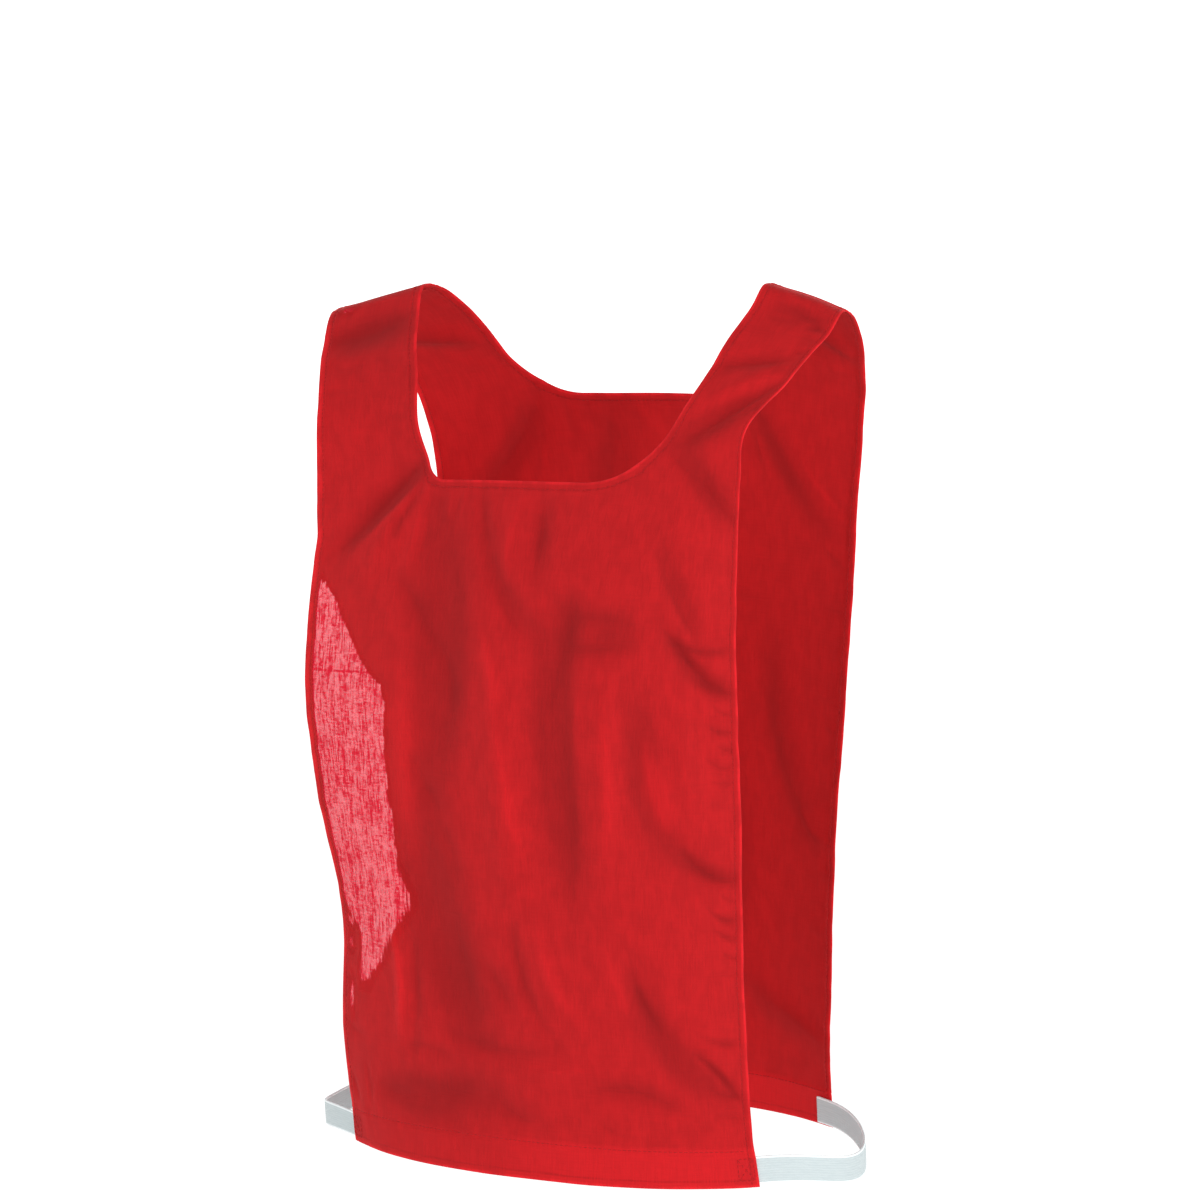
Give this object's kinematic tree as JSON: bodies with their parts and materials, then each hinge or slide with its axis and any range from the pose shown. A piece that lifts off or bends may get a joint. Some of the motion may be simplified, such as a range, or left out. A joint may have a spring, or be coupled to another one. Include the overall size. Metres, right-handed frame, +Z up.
{
  "type": "training bib",
  "caption": "Pull-over training bib of thin cotton in its worn, hollow form: front and back panels with shoulder straps, joined by an elastic at each side of the hem.",
  "frame": {"origin": "between the two shoulder straps, on the plane of the shoulder seams, on the wearer's middle line, level with the middle of each strap at its seam", "axes": "+Z up along the upright wearer, -Y towards the wearer's front, +X towards the wearer's left"},
  "size_m": [0.3713, 0.2232, 0.5527],
  "materials": {
    "red_cotton": "thin plain-woven cotton, matt, slightly see-through where single",
    "white_elastic": "flat woven elastic, fine lengthwise ribs"
  },
  "bodies": {
    "root": {"front_panel": "red_cotton", "back_panel": "red_cotton", "elastic_left": "white_elastic", "elastic_right": "white_elastic"}
  },
  "joints": []
}
